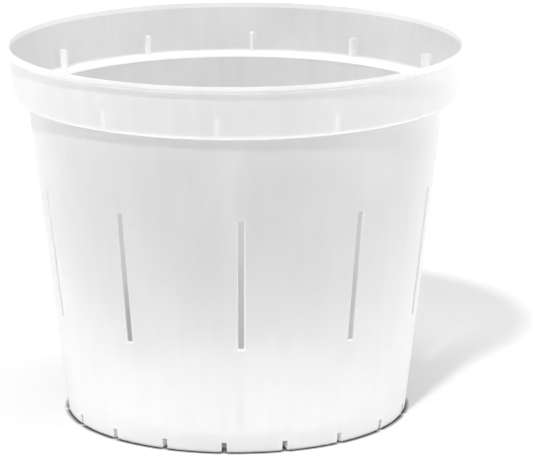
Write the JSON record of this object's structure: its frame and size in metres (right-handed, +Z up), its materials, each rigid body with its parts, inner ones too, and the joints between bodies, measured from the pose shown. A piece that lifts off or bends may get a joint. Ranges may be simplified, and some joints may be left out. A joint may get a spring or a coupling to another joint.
{
  "type": "slotted orchid pot",
  "caption": "Round tapered plant pot of milky translucent plastic, with a stepped collar, stacking ribs, tall wall slots and a notched foot ring.",
  "frame": {"origin": "centre of the foot ring, on the plane that the pot stands on", "axes": "+Z up along the pot's own axis, -Y towards the front as pictured, +X to the right"},
  "size_m": [0.165, 0.165, 0.1326],
  "materials": {
    "pot_plastic": "milky translucent polypropylene with a fine satin surface"
  },
  "bodies": {
    "root": {"rim_lip": "pot_plastic", "collar": "pot_plastic", "shoulder": "pot_plastic", "stacking_rib_01": "pot_plastic", "stacking_rib_02": "pot_plastic", "stacking_rib_03": "pot_plastic", "stacking_rib_04": "pot_plastic", "stacking_rib_05": "pot_plastic", "stacking_rib_06": "pot_plastic", "stacking_rib_07": "pot_plastic", "stacking_rib_08": "pot_plastic", "stacking_rib_09": "pot_plastic", "stacking_rib_10": "pot_plastic", "stacking_rib_11": "pot_plastic", "stacking_rib_12": "pot_plastic", "side_wall": "pot_plastic", "foot_ring": "pot_plastic", "floor": "pot_plastic"}
  },
  "joints": []
}
